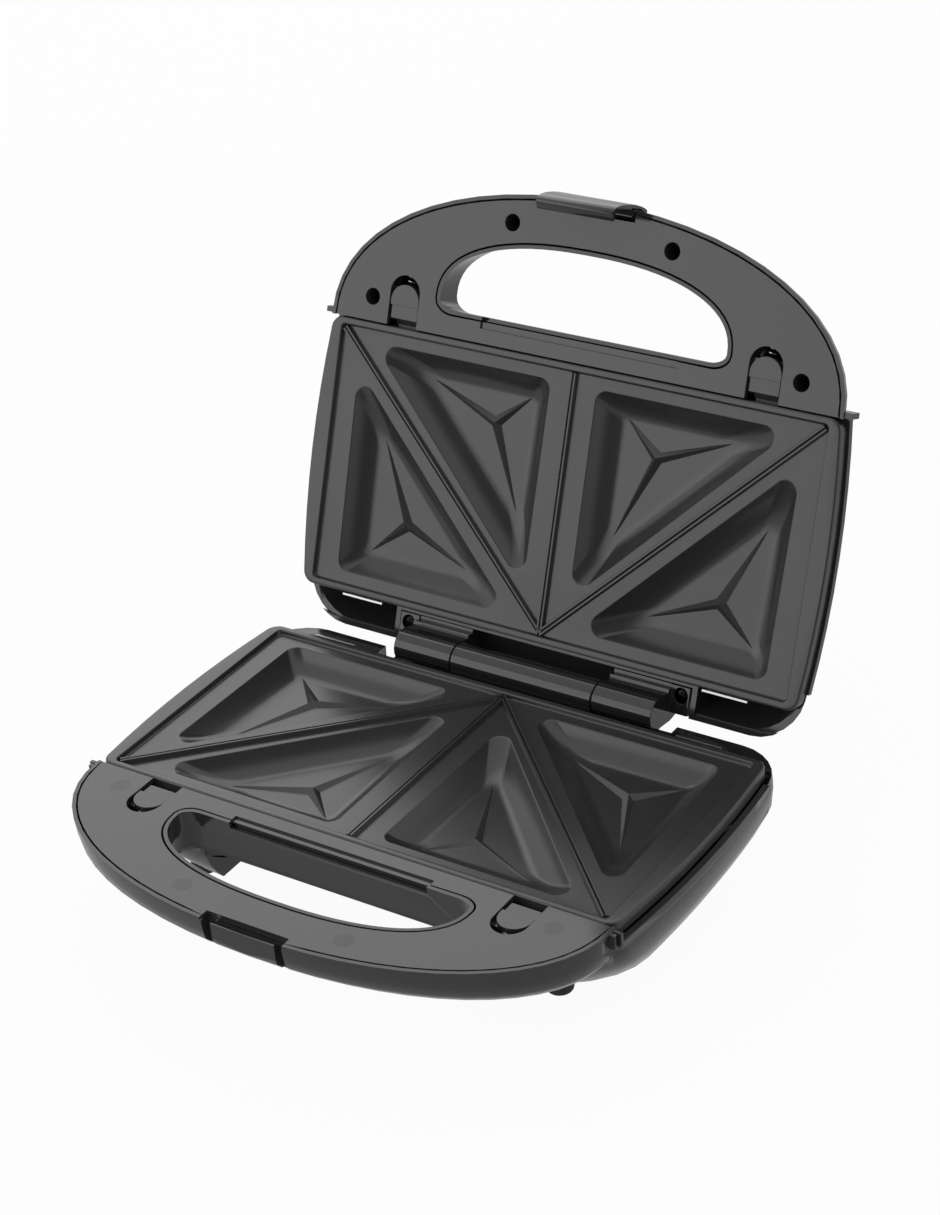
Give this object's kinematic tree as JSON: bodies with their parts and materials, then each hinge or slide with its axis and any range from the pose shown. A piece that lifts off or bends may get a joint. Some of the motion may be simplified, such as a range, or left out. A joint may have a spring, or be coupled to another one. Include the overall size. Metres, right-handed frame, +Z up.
{
  "type": "sandwich toaster",
  "caption": "Compact sandwich toaster with coved non-stick pocket plates, hinged lid, loop handles with hand holes, spring latch and plate release tabs.",
  "frame": {"origin": "centre of the footprint, on the worktop under the feet", "axes": "+X to the right as the user faces the front handle, +Y to the hinge at the back, +Z up; the lid is stored open on its stop"},
  "size_m": [0.2416, 0.2694, 0.2257],
  "materials": {
    "shell": "glossy dark grey moulded heat-resistant plastic",
    "panel": "satin dark grey moulded panels and tabs",
    "hinge_plastic": "glossy near-black moulded hinge pieces and latch",
    "plate": "non-stick coating on pressed aluminium",
    "reflector": "bright aluminised steel sheet",
    "element": "oxidised steel sheath of the heating element",
    "steel": "plain steel pins, springs, clips and screws",
    "rubber": "black rubber feet",
    "ceramic": "pale insulating plastic",
    "red_lens": "clear red plastic",
    "green_lens": "clear green plastic"
  },
  "bodies": {
    "base": {"base_housing": "shell", "base_panel": "panel", "lower_plate": "plate", "lower_reflector": "reflector", "lower_element": "element", "lower_element_clips": "steel", "lower_thermostat": "steel", "thermal_fuse": "ceramic", "terminal_block": "ceramic", "lower_left_release_spring": "steel", "lower_right_release_spring": "steel", "base_hinge_barrel": "hinge_plastic", "barrel_screws": "steel", "hinge_pin": "steel", "base_panel_screws": "steel", "lower_reflector_screws": "steel", "front_left_foot": "rubber", "front_right_foot": "rubber", "rear_left_foot": "rubber", "rear_right_foot": "rubber"},
    "lid": {"lid_housing": "shell", "lid_panel": "panel", "upper_plate": "plate", "upper_reflector": "reflector", "upper_element": "element", "upper_element_clips": "steel", "upper_thermostat": "steel", "upper_left_release_spring": "steel", "upper_right_release_spring": "steel", "left_hinge_knuckle": "hinge_plastic", "right_hinge_knuckle": "hinge_plastic", "knuckle_screws": "steel", "lid_panel_screws": "steel", "upper_reflector_screws": "steel", "latch_pin": "steel", "latch_spring": "steel", "lamp_holder": "ceramic", "power_lens": "red_lens", "ready_lens": "green_lens"},
    "lower_left_tab": {"lower_left_release": "panel"},
    "lower_right_tab": {"lower_right_release": "panel"},
    "upper_left_tab": {"upper_left_release": "panel"},
    "upper_right_tab": {"upper_right_release": "panel"},
    "latch": {"latch": "hinge_plastic"}
  },
  "joints": [
    {"name": "lid_hinge", "type": "hinge", "parent": "base", "child": "lid", "pos_m": [0, 0.05251, 0.0455], "axis": [1, 0, 0], "range_deg": [0, 111.7]},
    {"name": "latch_hinge", "type": "hinge", "parent": "lid", "child": "latch", "pos_m": [0, 0.12907, 0.21328], "axis": [-1, 0, 0], "range_deg": [0, 25], "stiffness_Nm_per_rad": 0.05, "springref_deg": -20.05, "deforming": ["latch_spring"]},
    {"name": "lower_left_tab_slide", "type": "slide", "parent": "base", "child": "lower_left_tab", "axis": [0, -1, 0], "range_m": [0, 0.0032], "stiffness_N_per_m": 300, "springref_m": -0.003, "deforming": ["lower_left_release_spring"]},
    {"name": "lower_right_tab_slide", "type": "slide", "parent": "base", "child": "lower_right_tab", "axis": [0, -1, 0], "range_m": [0, 0.0032], "stiffness_N_per_m": 300, "springref_m": -0.003, "deforming": ["lower_right_release_spring"]},
    {"name": "upper_left_tab_slide", "type": "slide", "parent": "lid", "child": "upper_left_tab", "axis": [0, 0.3697, 0.9291], "range_m": [0, 0.0032], "stiffness_N_per_m": 300, "springref_m": -0.003, "deforming": ["upper_left_release_spring"]},
    {"name": "upper_right_tab_slide", "type": "slide", "parent": "lid", "child": "upper_right_tab", "axis": [0, 0.3697, 0.9291], "range_m": [0, 0.0032], "stiffness_N_per_m": 300, "springref_m": -0.003, "deforming": ["upper_right_release_spring"]}
  ]
}
